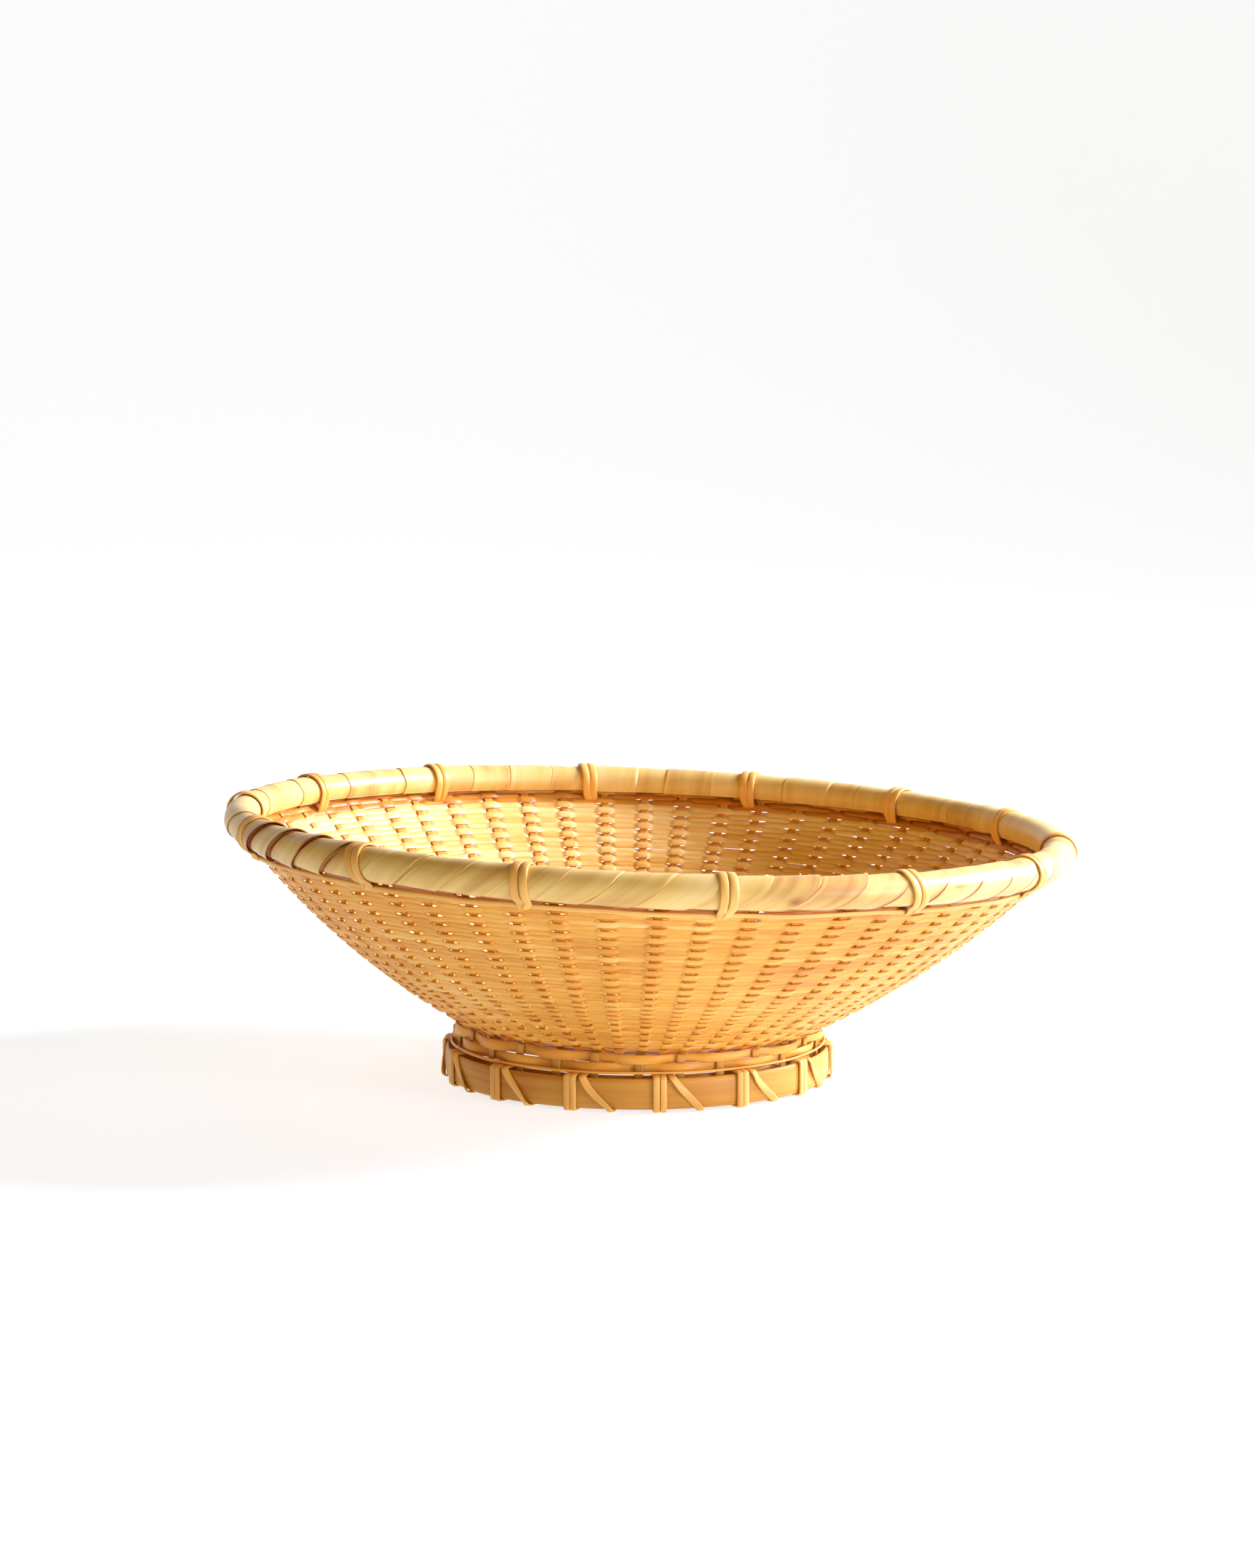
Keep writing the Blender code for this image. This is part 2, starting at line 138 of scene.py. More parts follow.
WALL_LENGTHS, WALL_POINTS, WALL_NORMALS = measured_wall()
RIM_END_LENGTH = float(WALL_LENGTHS[-1])


def wall(degrees, length, depth):
    """Upright layout points on the wall at an angle, this far up it and this deep below its face."""
    degrees, length, depth = np.broadcast_arrays(degrees, length, depth)
    place = [np.interp(length, WALL_LENGTHS, WALL_POINTS[:, i]) for i in (0, 1)]
    normal = [np.interp(length, WALL_LENGTHS, WALL_NORMALS[:, i]) for i in (0, 1)]
    below = np.minimum(length, 0.0)  # lengths under 0 run in flat over the base
    radius = place[0] - depth * normal[0] + below
    return polar(radius, degrees, place[1] - depth * normal[1])


def wall_line(degrees, length, depth):
    """A line on the wall, and for each point the direction out of the wall."""
    centre = wall(degrees, length, depth)
    return centre, wall(degrees, length, depth - 1.0) - centre


def rim_point(degrees, turn, margin):
    """A point round the rim tube's section; turn is 0 outside, 90 on top, in degrees."""
    turned = np.radians(turn)
    radius = RIM_RADIUS + (RIM_ACROSS + margin) * np.cos(turned)
    height = RIM_HEIGHT + (RIM_UP + margin) * np.sin(turned)
    return polar(radius, degrees, height)


def node_angle(node, axis_x):
    """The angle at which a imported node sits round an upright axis, in degrees."""
    low, high = (np.array(corner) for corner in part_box(node))
    middle = (low + high) / 2
    return math.degrees(math.atan2(middle[1], middle[0] - axis_x))


def angle_between(degrees, other):
    return (degrees - other + 180.0) % 360.0 - 180.0


def smooth_noise(count, amount, knots, closed=True):
    """A slow random line of this many values."""
    values = np_rng.normal(0.0, amount, knots)
    at = np.linspace(0, knots, count, endpoint=False)
    low = np.floor(at).astype(int)
    t = at - low
    t = t * t * (3 - 2 * t)
    high = (low + 1) % knots if closed else np.minimum(low + 1, knots - 1)
    return values[low % knots] * (1 - t) + values[high] * t


# ---------------------------------------------------------------- meshes


def directions(centre, out_hint, closed):
    """Directions across and out of the face of a strand, for each point of its line."""
    if closed:
        along = np.roll(centre, -1, axis=0) - np.roll(centre, 1, axis=0)
    else:
        along = np.gradient(centre, axis=0)
    along /= np.linalg.norm(along, axis=1)[:, None] + 1e-12
    across = np.cross(out_hint, along)
    across /= np.linalg.norm(across, axis=1)[:, None] + 1e-12
    return across, np.cross(along, across)


# A strand's section as (across, out) from -1 to 1, with only its edges rounded
FLAT_SECTION = (
    np.array([1.0, 0.86, -0.86, -1.0, -1.0, -0.86, 0.86, 1.0]),
    np.array([0.3, 1.0, 1.0, 0.3, -0.3, -1.0, -1.0, -0.3]),
)


def rounded_section(profile):
    """A section of this many points, squarer than an ellipse."""
    turn = np.linspace(0, 2 * math.pi, profile, endpoint=False) + math.pi / profile
    flat = np.sign(np.cos(turn)) * np.abs(np.cos(turn)) ** 0.55
    tall = np.sign(np.sin(turn)) * np.abs(np.sin(turn)) ** 0.8
    return flat, tall


class Batch:
    """Gathers strands into one mesh, with UVs along the fibres and a tone for each strand."""

    def __init__(self):
        self.verts, self.faces, self.uvs, self.tones = [], [], [], []
        self.count = 0

    def add(self, grid, uv, tone, close_u=False, close_v=False):
        """grid is (along, round, 3). Faces run between neighbours."""
        n, m = grid.shape[:2]
        index = self.count + np.arange(n * m).reshape(n, m)
        rows = n if close_u else n - 1
        cols = m if close_v else m - 1
        i, j = np.meshgrid(np.arange(rows), np.arange(cols), indexing="ij")
        i2, j2 = (i + 1) % n, (j + 1) % m
        quads = np.stack([index[i, j], index[i, j2], index[i2, j2], index[i2, j]], axis=-1)
        u, v = uv
        u_next = np.concatenate([u, [u[-1] + (u[-1] - u[-2])]])
        v_next = np.concatenate([v, [v[-1] + (v[-1] - v[-2])]])
        corner = np.stack(
            [
                np.stack([u_next[i], v_next[j]], -1),
                np.stack([u_next[i], v_next[j + 1]], -1),
                np.stack([u_next[i + 1], v_next[j + 1]], -1),
                np.stack([u_next[i + 1], v_next[j]], -1),
            ],
            axis=2,
        )
        self.verts.append(grid.reshape(-1, 3))
        self.faces.append(quads.reshape(-1, 4))
        self.uvs.append(corner.reshape(-1, 2))
        tone = np.asarray(tone, dtype=float)
        if tone.ndim < 2:
            tone = tone.reshape(-1, 1)
        self.tones.append(np.broadcast_to(tone, (n, m)).ravel())
        self.count += n * m
        return index

    def cap(self, end_ring):
        """Closes an end with a row of quads across its ring."""
        m = len(end_ring)
        for k in range(m // 2 - 1):
            quad = [end_ring[k], end_ring[k + 1], end_ring[m - 2 - k], end_ring[m - 1 - k]]
            self.faces.append(np.array([quad]))
            self.uvs.append(np.zeros((4, 2)))

    def strand(
        self,
        centre,
        out_hint,
        widths,
        thickness,
        tone,
        closed=False,
        profile=8,
        offset=0.0,
        flat_section=False,
        inner_tone=0.0,
    ):
        """Sweeps a flat section along a line given in the upright layout, its face towards the hint."""
        across, out = directions(centre, out_hint, closed)
        flat, tall = FLAT_SECTION if flat_section else rounded_section(profile)
        n, profile = len(centre), len(flat)
        widths = np.broadcast_to(np.asarray(widths, dtype=float), (n,))
        grid = (
            centre[:, None]
            + across[:, None] * (flat[None, :] * widths[:, None] / 2)[..., None]
            + out[:, None] * (tall[None, :] * thickness / 2)[..., None]
        )
        run = np.concatenate([[0], np.cumsum(np.linalg.norm(np.diff(centre, axis=0), axis=1))])
        u = run * MM + offset
        v = np.cumsum(np.full(profile, 1.0 / profile)) - 1.0 / profile
        v = v + rng.random() * 40
        tone = np.broadcast_to(np.asarray(tone, dtype=float), (n,))[:, None] + inner_tone * (tall < 0)
        index = self.add(lean(grid), (u, v), tone, close_u=closed, close_v=True)
        if not closed:
            self.cap(list(index[0]))
            self.cap(list(index[-1][::-1]))

    def build(self, name, look, replaces, slot):
        mesh = bpy.data.meshes.new(name)
        mesh.from_pydata(np.concatenate(self.verts).tolist(), [], np.concatenate(self.faces).tolist())
        layer = mesh.uv_layers.new(name="fibre")
        layer.data.foreach_set("uv", np.concatenate(self.uvs).astype(np.float32).ravel())
        tone = mesh.attributes.new("tone", "FLOAT", "POINT")
        tone.data.foreach_set("value", np.concatenate(self.tones).astype(np.float32))
        mesh.materials.append(LOOKS[look])
        mesh.validate()
        mesh.update()
        mesh.shade_smooth()
        piece = bpy.data.objects.new(name, mesh)
        bpy.context.scene.collection.objects.link(piece)
        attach(piece, ROOT)
        if replaces:
            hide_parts(*replaces)


# ---------------------------------------------------------------- materials

FIBRE_WEIGHT, CLOUD_WEIGHT = 0.55, 0.45  # what fibres and clouds add to a strand's tone
CLOUD_SCALE = 26.0
TONE_GAIN = 0.72  # brings the sum into the ramp's range
RAMP_DARK, RAMP_MIDDLE, RAMP_LIGHT = 0.42, 0.72, 1.0
SPECULAR_LEVEL, COAT_ROUGHNESS = 0.28, 0.3
BUMP_DISTANCE = 0.0002


def bamboo(name, dark, mid, light, roughness, fibres, bump, coat):
    """Bamboo or rattan skin: a tone for each strand, fibres along it, and slow clouds over it."""
    made = bpy.data.materials.new(name)
    made.use_nodes = True
    tree = made.node_tree
    shader = tree.nodes["Principled BSDF"]
    link = tree.links.new

    def node(kind, **values):
        created = tree.nodes.new(kind)
        for key, value in values.items():
            setattr(created, key, value)
        return created

    def noise(vector, scale, detail):
        created = node("ShaderNodeTexNoise")
        created.inputs["Scale"].default_value = scale
        created.inputs["Detail"].default_value = detail
        link(vector, created.inputs["Vector"])
        return created.outputs[0]

    def weigh(value, weight, added=None):
        created = node("ShaderNodeMath", operation="MULTIPLY" if added is None else "MULTIPLY_ADD")
        link(value, created.inputs[0])
        created.inputs[1].default_value = weight
        if added is not None:
            link(added, created.inputs[2])
        return created.outputs[0]

    stretch = node("ShaderNodeMapping")
    stretch.inputs["Scale"].default_value = (*fibres, 1.0)
    link(node("ShaderNodeUVMap", uv_map="fibre").outputs[0], stretch.inputs[0])
    grain = noise(stretch.outputs[0], 1.0, 3.0)
    cloud = noise(node("ShaderNodeTexCoord").outputs["Object"], CLOUD_SCALE, 2.0)
    tone = node("ShaderNodeAttribute", attribute_name="tone").outputs["Fac"]
    fibred = weigh(grain, FIBRE_WEIGHT, tone)
    clouded = weigh(cloud, CLOUD_WEIGHT, fibred)

    ramp = node("ShaderNodeValToRGB")
    ramp.color_ramp.elements[0].position = RAMP_DARK
    ramp.color_ramp.elements[0].color = (*dark, 1)
    ramp.color_ramp.elements[1].position = RAMP_LIGHT
    ramp.color_ramp.elements[1].color = (*light, 1)
    ramp.color_ramp.elements.new(RAMP_MIDDLE).color = (*mid, 1)
    link(weigh(clouded, TONE_GAIN), ramp.inputs[0])

    link(ramp.outputs[0], shader.inputs["Base Color"])
    shader.inputs["Roughness"].default_value = roughness
    shader.inputs["Coat Weight"].default_value = coat
    shader.inputs["Specular IOR Level"].default_value = SPECULAR_LEVEL
    shader.inputs["Coat Roughness"].default_value = COAT_ROUGHNESS
    raised = node("ShaderNodeBump")
    raised.inputs["Strength"].default_value = bump
    raised.inputs["Distance"].default_value = BUMP_DISTANCE
    link(grain, raised.inputs["Height"])
    link(raised.outputs[0], shader.inputs["Normal"])
    return made


# Each look's dark, middle and light colour, roughness, fibres along and across, bump and coat
LOOK_VALUES = {
    "weft": ((0.52, 0.15, 0.006), (0.79, 0.38, 0.048), (0.93, 0.64, 0.23), 0.45, (90, 9), 0.3, 0.08),
    "stake": ((0.44, 0.12, 0.004), (0.62, 0.23, 0.018), (0.74, 0.33, 0.04), 0.6, (60, 9), 0.3, 0.0),
    "sheath": ((0.30, 0.03, 0.003), (0.73, 0.49, 0.135), (0.88, 0.70, 0.34), 0.4, (25, 5), 0.15, 0.12),
    "hoop": ((0.38, 0.12, 0.004), (0.62, 0.31, 0.045), (0.80, 0.50, 0.16), 0.45, (18, 16), 0.2, 0.06),
    "rattan": ((0.48, 0.16, 0.012), (0.78, 0.43, 0.09), (0.91, 0.59, 0.20), 0.42, (60, 7), 0.2, 0.12),
}
LOOKS = {name: bamboo(f"{name}_look", *values) for name, values in LOOK_VALUES.items()}


# ---------------------------------------------------------------- bowl

# The wall's zones by the length up it where each ends: piece, pitch of the rows, unevenness of a row
ZONES = (
    (19.0, "weave_lower", 2.7, 0.18),
    (25.5, "weave_lower", 2.7, 0.30),
    (39.6, "weave_middle", 1.5, 0.07),
    (63.5, "weave_upper", 2.15, 0.10),
    (math.inf, "weave_top", 2.15, 0.10),
)
ZONE_NODES = {
    "weave_lower": "weft_lower",
    "weave_middle": "weft_middle",
    "weave_upper": "weft_upper",
    "weave_top": "weft_upper",
}
FIRST_ROW, ROWS_END = -1.3, RIM_END_LENGTH - 3.0
BASE_ROWS_END, RIM_SHADOW_ROWS_START = 5.0, 88.5  # the rows below the first length are darker; those past the second are darkened as painted shadow under the rim

# Where a few rows have drawn apart: angle, length up the wall, half width of the gap in degrees
LOOSE_SPOTS = (
    (222.0, 23.0, 1.3), (239.8, 22.0, 1.5), (257.3, 22.0, 1.6), (264.3, 23.0, 1.2),
    (281.7, 22.5, 1.5), (287.7, 22.0, 1.6), (294.2, 21.0, 2.1), (301.0, 22.5, 1.5),
    (307.0, 24.6, 2.0), (307.0, 19.6, 1.9), (316.0, 21.0, 1.4), (78.0, 23.0, 1.6), (128.0, 21.0, 1.4),
)
# Loose ends away from those spots: two below the rim, two at the foot
OTHER_ENDS = [(200.5, 90.0), (204.5, 89.0), (258.6, 5.0), (260.2, 6.5)]
STAKE_ANGLES = np.array(
    [
        FIRST_STAKE + STAKE_SHIFT + STEP * k + rng.uniform(-STAKE_JITTER, STAKE_JITTER)
        for k in range(STAKES)
    ]
)

# A row's points round each stake, in steps from it, closest where the row bends
BENDS = (-0.5, -0.29, -0.24, -0.2, -0.165, -0.125, 0.0, 0.125, 0.165, 0.2, 0.24, 0.29)
BEND_END, BEND_RUN = 0.27, 0.145  # in steps: where a row starts to bend, and how long the bend is
SLIT_PLACE, SLIT_HALF = 0.19, 0.05  # in steps: the slits of light on both sides of a stake
SLIT, FINE_SLIT = 0.10, 0.03
FINE_WAVE = 0.85
ROW_FILL = 1.05  # a row is wider than its pitch, so neighbours touch
OUTER_FILL, INNER_FILL = 0.13, 0.20  # what it gains as it passes outside or inside a stake
GAP_REACH, GAP_NARROWING = 2.0, 0.6  # where rows have drawn apart


def zone_at(length):
    """The piece, pitch and unevenness of the row at this length up the wall."""
    return next(values for top, *values in ZONES if length < top)


def weft_rows():
    """(length up the wall, piece, pitch, unevenness) for every row, foot to rim."""
    rows = []
    length = FIRST_ROW
    while length < ROWS_END:
        piece, pitch, rough = zone_at(length)
        rows.append((length, piece, pitch, rough))
        length += (pitch + zone_at(length + pitch)[1]) / 2
    return rows


def row_tone(length):
    if length < BASE_ROWS_END:
        return -0.3
    # the rows up under the rim get a painted shadow
    return -0.55 if length > RIM_SHADOW_ROWS_START else 0.0


def make_weave():
    """Each row lies flush with its neighbours and bends sharply over one stake and under the next."""
    zones = {name: Batch() for name in ZONE_NODES}
    count = STAKES * len(BENDS)
    offsets = np.tile(BENDS, STAKES)
    number = np.repeat(np.arange(STAKES), len(BENDS))
    knots = np.concatenate([[STAKE_ANGLES[-1] - 360.0], STAKE_ANGLES, [STAKE_ANGLES[0] + 360.0]])
    degrees = np.interp(number + offsets, np.arange(-1, STAKES + 1), knots)
    at_stake = np.clip((BEND_END - np.abs(offsets)) / BEND_RUN, 0.0, 1.0)
    at_stake = at_stake**2 * (3 - 2 * at_stake)
    beside_stake = np.exp(-(((np.abs(offsets) - SLIT_PLACE) / SLIT_HALF) ** 2))
    parity = np.where(number % 2, -1, 1)
    for row, (length, zone, pitch, rough) in enumerate(weft_rows()):
        side = parity * (1 if row % 2 else -1)  # 1 where the row passes outside the stake
        fine = zone == "weave_middle"
        depth = MIDDLE_DEPTH - side * (WAVE * (FINE_WAVE if fine else 1.0)) * at_stake
        up = length + smooth_noise(count, rough, STAKES)
        outside = ROW_FILL + OUTER_FILL * at_stake
        inside = ROW_FILL + INNER_FILL * at_stake - (FINE_SLIT if fine else SLIT) * beside_stake
        widths = pitch * np.where(side > 0, outside, inside) * (1.0 + smooth_noise(count, 0.025, 40))
        for spot, level, half in LOOSE_SPOTS:
            away = angle_between(degrees, spot)
            near = np.exp(-((away / half) ** 2)) * math.exp(-(((length - level) / GAP_REACH) ** 2))
            widths = widths * (1.0 - GAP_NARROWING * near)
        tone = 0.45 + rng.uniform(-0.07, 0.07) + smooth_noise(count, 0.055, 24)
        zones[zone].strand(
            *wall_line(degrees, up, depth),
            widths,
            WEFT_THICK,
            tone + row_tone(length),
            closed=True,
            offset=rng.random(),
            flat_section=True,
            inner_tone=INNER_TONE,
        )
    for name, node in ZONE_NODES.items():
        zones[name].build(name, "weft", (node,), "weft_bamboo")


def make_stakes():
    batch = Batch()
    length = np.linspace(-2.0, RIM_END_LENGTH, 46)
    depth = np.full(len(length), MIDDLE_DEPTH)
    for angle in STAKE_ANGLES:
        bow, end = rng.uniform(-0.25, 0.25), rng.uniform(-0.2, 0.2)
        wobble = np.interp(length, (0, 40, 100), (0, bow, end))
        widths = np.interp(length, (-14, 0, 100), (2.3, 2.5, 2.9)) * rng.uniform(0.92, 1.06)
        batch.strand(
            *wall_line(angle + wobble, length, depth),
            widths,
            STAKE_THICK,
            0.4 + rng.uniform(-0.12, 0.12),
            offset=rng.random(),
            inner_tone=INNER_TONE,
        )
    batch.build("stakes", "stake", ("bowl_stakes",), "stake_bamboo")


def make_frays():
    """Loose ends and splinters that stand off the wall."""
    batch = Batch()
    ends = [(spot + rng.uniform(0.5, 2.0), level + rng.uniform(-2.5, 2.5)) for spot, level, _ in LOOSE_SPOTS]
    share = np.linspace(0.0, 1.0, 9)
    for angle, length in ends + OTHER_ENDS:
        reach = rng.uniform(2.2, 4.6)
        rise = rng.uniform(-1.4, 1.8)
        lift = rng.uniform(0.5, 1.3)
        degrees = angle + share * reach * (1 if rng.random() < 0.7 else -1)
        centre = wall(degrees, length + rise * share, 0.25 - lift * share**1.6)
        hint = wall(degrees, length + rise * share, -1.0) - centre
        widths = rng.uniform(0.45, 0.85) * (1.0 - 0.7 * share**2)
        batch.strand(centre, hint, widths, 0.3, 0.36 + rng.uniform(-0.15, 0.15), profile=6)
    batch.build("loose_ends", "weft", (), "weft_bamboo")


def make_base():
    """Flat strips woven square over the bottom, under the standing stakes."""
    batch = Batch()
    reach, pitch, height, wave_height = 53.5, 3.7, 17.0, 0.42
    width, thick = 3.3, 0.5
    count = int(reach // pitch)
    for along_x in (True, False):
        for strip in range(-count, count + 1):
            sideways = strip * pitch
            half = math.sqrt(max(reach**2 - sideways**2, 4.0))
            run = np.linspace(-half, half, max(12, int(half * 2 / pitch) * 4))
            wave = np.cos(math.pi * run / pitch) * (1 if strip % 2 else -1)
            up = height + wave_height * wave * (1 if along_x else -1)
            centre = np.stack([run, np.full_like(run, sideways), up], -1)
            if not along_x:
                centre = centre[:, [1, 0, 2]]
            hint = np.tile([0.0, 0.0, 1.0], (len(run), 1))
            tone = 0.66 + rng.uniform(-0.12, 0.12)
            batch.strand(centre, hint, width, thick, tone, offset=rng.random(), inner_tone=-INNER_TONE)
    batch.build("base_weave", "weft", ("base_mat",), "weft_bamboo")


# ---------------------------------------------------------------- rim

# Scars on the rim's strip: angle, turn of the section, half widths of the mark in degrees
SCARS = (
    (287.7, -20.0, 0.9, 16.0), (311.8, 8.0, 1.3, 9.0), (96.0, 30.0, 1.0, 14.0), (163.0, -10.0, 1.1, 12.0),
)
SCAR_TONE = 0.26
TURN_START, TURN_SPAN = -4.5, 1.17  # a turn starts this far before its stake and covers so many steps
SHEATH_FACE, SHEATH_BACK = 0.12, 0.42  # depths of the strip's two faces
SHEATH_RUN, SHEATH_WIDTH = 0.034, 0.0155  # metres of strip along a turn, and across it, for its fibres
LOOSE_TURNS = (192.0, 217.0)  # where the turns stand open, at the left end
BACK_TURNS = (15.0, 182.0)  # where they lie closest
EDGE_SHADE_TURNS = (290.0, 352.0)  # where the painted shade along their free edges is darkest, at the right end


def turn_lies(start):
    """How far a turn's free edge is raised, and the share across it and half width of its dark seam, a
    painted contact shadow and dirt where the next turn's edge lies over it.
    """
    if LOOSE_TURNS[0] < start < LOOSE_TURNS[1]:
        return 1.1, 0.83, 0.04
    return (0.16 if BACK_TURNS[0] < start < BACK_TURNS[1] else 0.42), 0.86, 0.025


def make_wrap():
    """A wide strip wound round the rim. Each turn covers the edge of the one after it."""
    batch = Batch()
    turns = np.linspace(-96.0, 222.0, 44)
    travel = np.interp(turns, (-96.0, 30.0, 75.0, 208.0), (0.0, 5.3, 6.4, 7.0))
    covered_edge, free_edge = [1.0, 0.95], [0.05, 0.012, 0.0]
    share = np.concatenate([covered_edge, np.linspace(0.91, 0.79, 5), np.linspace(0.76, 0.12, 7), free_edge])
    to_free_edge = 1.0 - share
    for index in range(STAKES):
        start = FIRST_STAKE + STEP * index + TURN_START + rng.uniform(-0.35, 0.35)
        span = STEP * TURN_SPAN * rng.uniform(0.97, 1.04)
        swell = rng.uniform(-0.12, 0.2)
        loose = LOOSE_TURNS[0] < start % 360.0 < LOOSE_TURNS[1]
        raised, seam, seam_half = turn_lies(start % 360.0)
        lift = raised * to_free_edge**1.3 + swell * np.sin(math.pi * share) + rng.uniform(-0.12, 0.22)
        edge = smooth_noise(len(turns), 0.14, 7, closed=False)
        fall = to_free_edge[None, :]
        degrees = start + travel[:, None] + span * fall + edge[:, None] * fall
        outer = lean(rim_point(degrees, turns[:, None], lift[None, :] - SHEATH_FACE))
        inner = lean(rim_point(degrees, turns[:, None], lift[None, :] - SHEATH_BACK))
        rim_run = math.radians(span) * RIM_RADIUS * MM
        u = np.linspace(0, SHEATH_RUN, len(turns)) + rng.random()
        v = np.linspace(0, 1.0, len(share)) * rim_run / SHEATH_WIDTH + rng.random() * 30

        along_tone = 0.50 + rng.uniform(-0.08, 0.08) + smooth_noise(len(turns), 0.04, 6, closed=False)
        # each turn's free edge gets a line of painted shade, darkest at the right end
        edge_shaded = EDGE_SHADE_TURNS[0] < start % 360.0 < EDGE_SHADE_TURNS[1]
        edge_shade, edge_shade_half = (2.6, 0.045) if edge_shaded else (0.4, 0.02)
        # shade darkens the seam under the next turn's edge with painted contact shadow and dirt, and the
        # free edge with a line of painted shade
        shade = -np.exp(-(((share - seam) / seam_half) ** 2)) - edge_shade * np.exp(-((share / edge_shade_half) ** 2))
        seam_strength = rng.uniform(0.15, 0.55)
        seam_turns, seam_depths = (-70.0, 0.0, 35.0, 70.0), (1.0, 0.8, 0.3, 0.06)
        # open turns get a stronger painted shadow in the wedges between them
        if loose:
            seam_strength = rng.uniform(0.6, 1.0)
            seam_turns, seam_depths = (-70.0, -10.0, 60.0, 110.0), (0.7, 1.0, 0.5, 0.1)
        visible = np.interp(turns, seam_turns, seam_depths) * seam_strength
        tone = along_tone[:, None] + visible[:, None] * np.concatenate([shade, shade[::-1]])[None, :]
        round_degrees = np.concatenate([degrees, degrees[:, ::-1]], axis=1)
        for angle, at, half, tall in SCARS:
            away = angle_between(round_degrees, angle) / half
            tone = tone - SCAR_TONE * np.exp(-(away**2) - ((turns[:, None] - at) / tall) ** 2)

        section = np.concatenate([outer, inner[:, ::-1]], axis=1)
        rows = batch.add(section, (u, np.concatenate([v, v[::-1]])), tone, close_v=True)
        batch.cap(list(rows[0]))
        batch.cap(list(rows[-1][::-1]))
    batch.build("rim_wrapping", "sheath", ("rim_wrap",), "rim_sheath")


def make_under_strand():
    batch = Batch()
    degrees = round_angles(STAKES * 6)
    radius = STRAND_RADIUS + smooth_noise(len(degrees), 0.08, 60)
    height = STRAND_HEIGHT + smooth_noise(len(degrees), 0.18, 60)
    batch.strand(*ring(radius, degrees, height), 1.35, 1.1, 0.6, closed=True)
    batch.build("lower_strand", "rattan", ("under_rim_strand",), "rattan")


# Slant of each tie's outer run in degrees, from the one nearest the front, counting upwards in angle
TIE_SLANTS = (0.0, -1.0, 0.2, -0.2, 0.5, -0.4, 0.3, 0.6, -0.3, 0.4, -0.2, 0.5, -0.8, -0.3)
TIE_SPREAD = 0.60  # each of a tie's two strands is this far from its middle
TIE_MARGIN = 0.75  # and this far off the rim
TIE_WIDTH, TIE_THICK = 2.6, 0.8
TIE_CORE_HEIGHT = 76.5  # the strands face away from the rim's circle at this height


def make_rim_ties():
    """Pairs of strands over the rim, which go in under the strand below it and back out."""
    turns = np.linspace(-84.0, 206.0, 40)
    for index, slant in enumerate(TIE_SLANTS):
        batch = Batch()
        node = f"rim_tie_{index + 1:02d}"
        middle = node_angle(node, 0.0)
        foot = middle - slant - 0.45
        for side in (-1, 1):
            slide = np.interp(turns, (-84, 60, 206), (-slant, slant * 0.5, 0.0))
            spread = np.interp(turns, (-84, -40, 120, 206), (0.85, 1.0, 1.0, 0.9))
            over = rim_point(middle + slide + side * spread * TIE_SPREAD, turns, TIE_MARGIN)
            hook = [
                polar(124.5, middle + side * 0.62, 71.2),
                polar(127.3, foot, 70.7),
                polar(129.2, foot, 70.6),
                polar(129.9, middle - slant + side * 0.6, 71.6),
            ]
            line = np.concatenate([over, np.array(hook)])
            for _ in range(2):
                line = 0.5 * line + 0.25 * (np.roll(line, 1, 0) + np.roll(line, -1, 0))
            core = polar(RIM_RADIUS, np.degrees(np.arctan2(line[:, 1], line[:, 0])), TIE_CORE_HEIGHT)
            width = TIE_WIDTH * rng.uniform(0.94, 1.05)
            tone = 0.5 + rng.uniform(-0.12, 0.12)
            batch.strand(line, line - core, width, TIE_THICK, tone, closed=True, profile=10)
        batch.build(f"rim_lashing_{index + 1:02d}", "rattan", (node,), "rattan")


# ---------------------------------------------------------------- foot


def make_hoop(name, radius, thick, node):
    batch = Batch()
    degrees = round_angles(STAKES * 5)
    line = ring(radius + smooth_noise(len(degrees), 0.05, 30), degrees, (HOOP_LOW + HOOP_HIGH) / 2)
    tone = 0.42 + smooth_noise(len(degrees), 0.07, 14)
    batch.strand(*line, HOOP_HIGH - HOOP_LOW, thick, tone, closed=True, profile=14)
    batch.build(name, "hoop", (node,), "hoop_bamboo")


def make_foot_stakes():
    batch = Batch()
    heights = np.linspace(1.6, 17.5, 12)
    radius = FOOT_RADIUS + 0.6 * np.clip(1 - heights / 11.0, 0, 1)
    for index in range(FOOT_STAKES):
        angle = FIRST_STAKE + FOOT_STEP * index + rng.uniform(-STAKE_JITTER, STAKE_JITTER)
        line = ring(radius, np.full(len(heights), angle), heights)
        batch.strand(*line, 2.9 * rng.uniform(0.92, 1.05), 0.8, 0.42 + rng.uniform(-0.1, 0.1))
    batch.build("foot_uprights", "hoop", ("foot_stakes",), "stake_bamboo")


def make_foot_weft(name, middle, width, first_side, node):
    """A wide strand in and out of the foot's stakes, a little wider where it passes one."""
    batch = Batch()
    count = FOOT_STAKES * 14
    grid = np.arange(count) / 14.0
    phase = np.cos(math.pi * grid)
    wave = np.sign(phase) * np.abs(phase) ** 0.75
    radius = FOOT_RADIUS + first_side * 1.0 * wave
    line = ring(radius, FIRST_STAKE + grid * 360.0 / FOOT_STAKES, middle + smooth_noise(count, 0.12, 28))
    tone = 0.42 + smooth_noise(count, 0.08, 20)
    batch.strand(*line, width + 0.35 * np.abs(wave), 0.75, tone, closed=True, flat_section=True)
    batch.build(name, "weft", (node,), "weft_bamboo")


